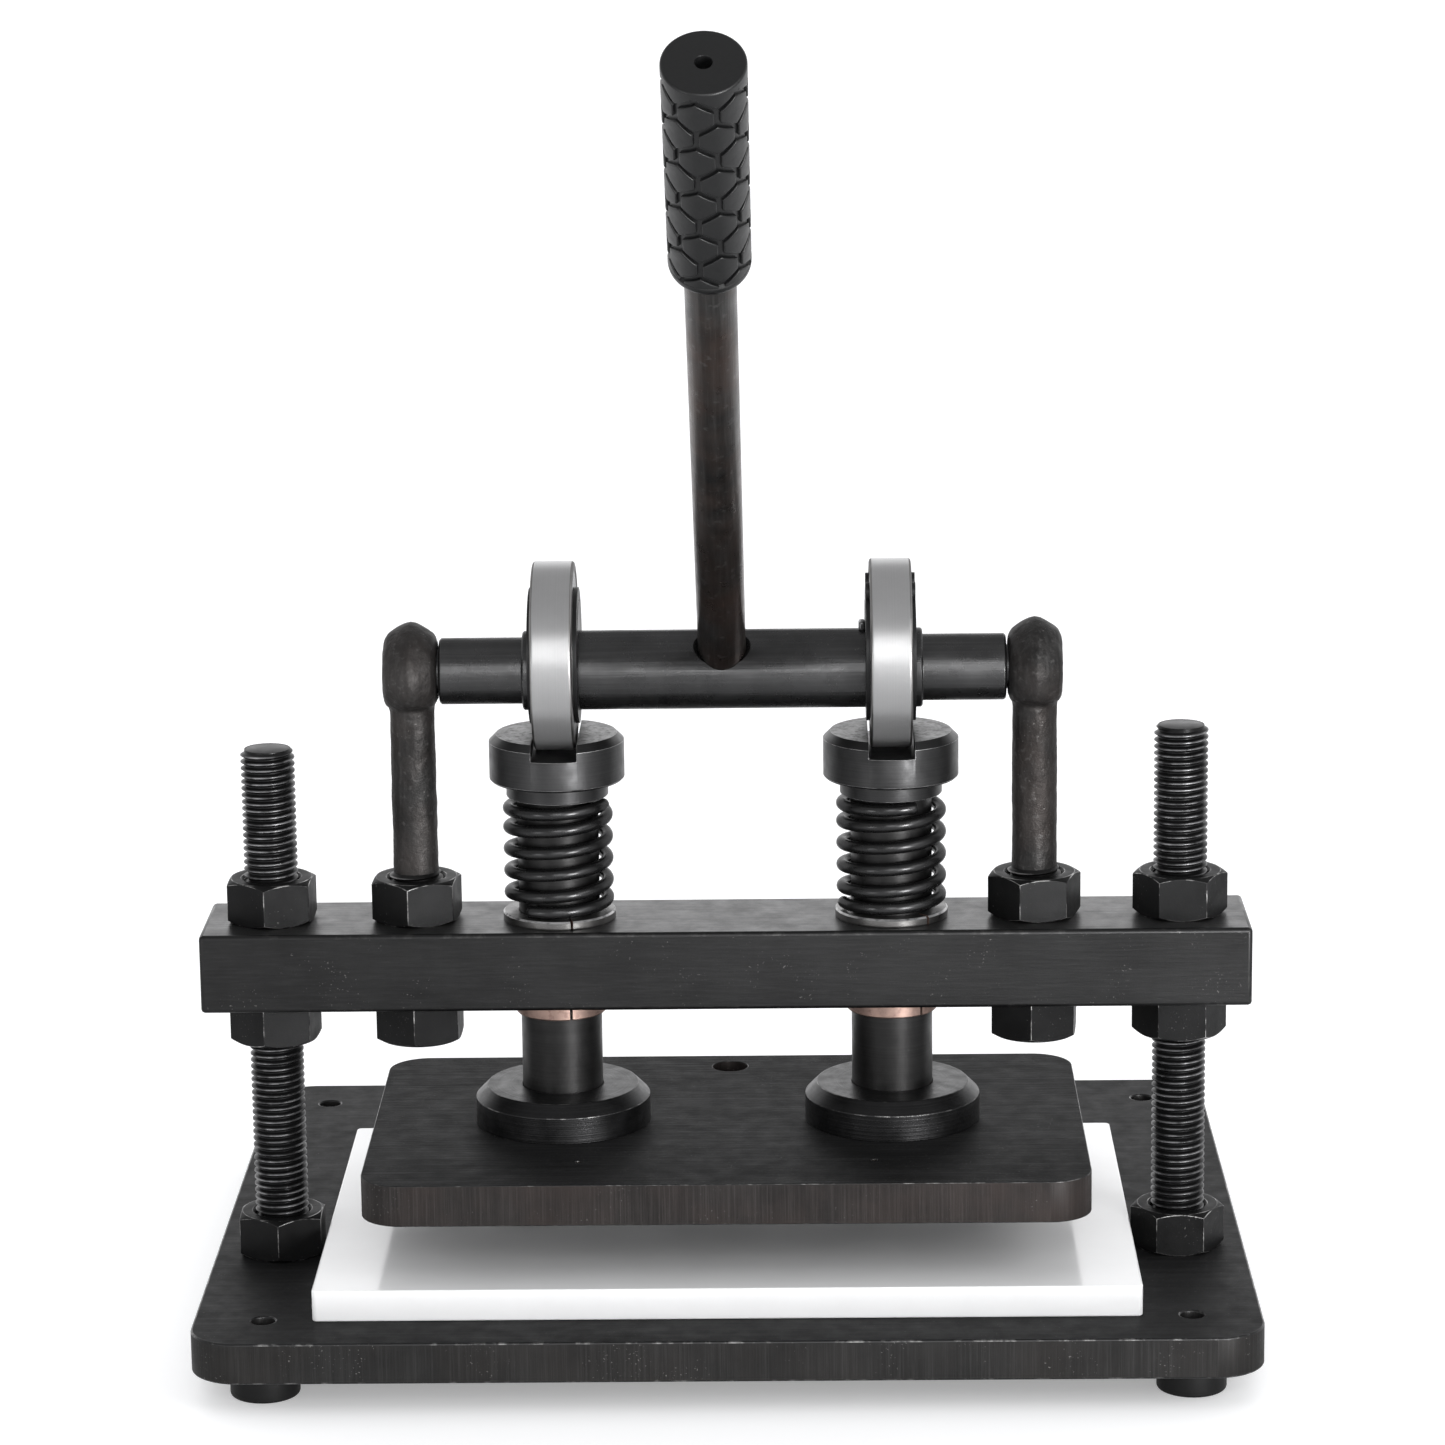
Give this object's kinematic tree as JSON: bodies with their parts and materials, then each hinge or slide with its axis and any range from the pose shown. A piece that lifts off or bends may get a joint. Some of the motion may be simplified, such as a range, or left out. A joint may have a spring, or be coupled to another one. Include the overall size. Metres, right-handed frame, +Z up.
{
  "type": "hand lever die-cutting press",
  "caption": "Black steel table press: a lever turns an eccentric shaft whose bearings push sprung plungers and a flat press plate onto a white cutting board.",
  "frame": {"origin": "on the table at the bottom centre of the overall box, midway between the two threaded rods and 9.8 mm in front of their plane", "axes": "+Z up, +X to the right as seen from the front, the lever leans forward to -Y"},
  "size_m": [0.38, 0.4347, 0.4922],
  "materials": {
    "black_plate": "satin black-oxide steel plate",
    "foot_rubber": "matt black rubber",
    "stud_steel": "plain steel",
    "board_white": "white plastic, soft sheen",
    "rod_steel": "black-oxide thread",
    "nut_steel": "black-oxide steel, worn edges",
    "beam_black": "black-oxide bar, satin",
    "forged_steel": "forged, brown-black, rough",
    "bush_copper": "copper-coloured bush, worn steel flange",
    "platen_steel": "black-oxide plate with brushed grain",
    "turned_steel": "turned steel, black-oxide, sheen rings",
    "post_steel": "black-oxide ground post",
    "spring_black": "black spring wire, glossy",
    "shaft_steel": "black-oxide shaft",
    "bearing_steel": "polished bearing steel",
    "shield_steel": "pressed steel shield",
    "ring_steel": "spring steel, phosphated",
    "bar_steel": "brown-black bar, worn",
    "grip_rubber": "black rubber with a tiled pattern"
  },
  "bodies": {
    "base": {"base_plate": "black_plate", "foot_front_left": "foot_rubber", "foot_front_right": "foot_rubber", "foot_rear_left": "foot_rubber", "foot_rear_right": "foot_rubber", "foot_studs": "stud_steel", "rod_left": "rod_steel", "rod_right": "rod_steel", "base_nuts": "nut_steel"},
    "board": {"cutting_board": "board_white"},
    "head": {"cross_beam": "beam_black", "rod_nuts_lower": "nut_steel", "rod_nuts_upper": "nut_steel", "eye_bolt_left": "forged_steel", "eye_bolt_right": "forged_steel", "eye_nuts_lower": "nut_steel", "eye_nuts_upper": "nut_steel", "bush_left": "bush_copper", "bush_right": "bush_copper"},
    "press": {"press_plate": "platen_steel", "flange_left": "turned_steel", "flange_right": "turned_steel", "post_left": "post_steel", "post_right": "post_steel", "cap_left": "turned_steel", "cap_right": "turned_steel", "spring_left": "spring_black", "spring_right": "spring_black"},
    "cam": {"cam_shaft": "shaft_steel", "cam_key": "shaft_steel", "bearing_inner_left": "bearing_steel", "bearing_inner_right": "bearing_steel", "bearing_balls_left": "bearing_steel", "bearing_balls_right": "bearing_steel", "retaining_rings_left": "ring_steel", "retaining_rings_right": "ring_steel", "handle_bar": "bar_steel", "handle_grip": "grip_rubber"},
    "bearing_left": {"bearing_outer_left": "bearing_steel", "bearing_shields_left": "shield_steel"},
    "bearing_right": {"bearing_outer_right": "bearing_steel", "bearing_shields_right": "shield_steel"}
  },
  "joints": [
    {"name": "board_slide", "type": "slide", "parent": "base", "child": "board", "axis": [0, -1, 0], "range_m": [0, 0.18]},
    {"name": "head_height", "type": "slide", "parent": "base", "child": "head", "axis": [0, 0, 1], "range_m": [-0.017, 0.04]},
    {"name": "press_stroke", "type": "slide", "parent": "head", "child": "press", "axis": [0, 0, -1], "range_m": [0, 0.0056], "stiffness_N_per_m": 39000, "springref_m": -0.013, "deforming": ["spring_left", "spring_right"]},
    {"name": "lever", "type": "hinge", "parent": "head", "child": "cam", "pos_m": [0, 0.0098, 0.246], "axis": [1, 0, 0], "range_deg": [0, 90]},
    {"name": "bearing_left_spin", "type": "hinge", "parent": "cam", "child": "bearing_left", "pos_m": [-0.0605, 0.0098, 0.2515], "axis": [1, 0, 0], "continuous": true},
    {"name": "bearing_right_spin", "type": "hinge", "parent": "cam", "child": "bearing_right", "pos_m": [0.0605, 0.0098, 0.2515], "axis": [1, 0, 0], "continuous": true}
  ],
  "couplings": [
    {"joint": "press_stroke", "follows": "lever", "m_per_rad": 0.0035014}
  ]
}
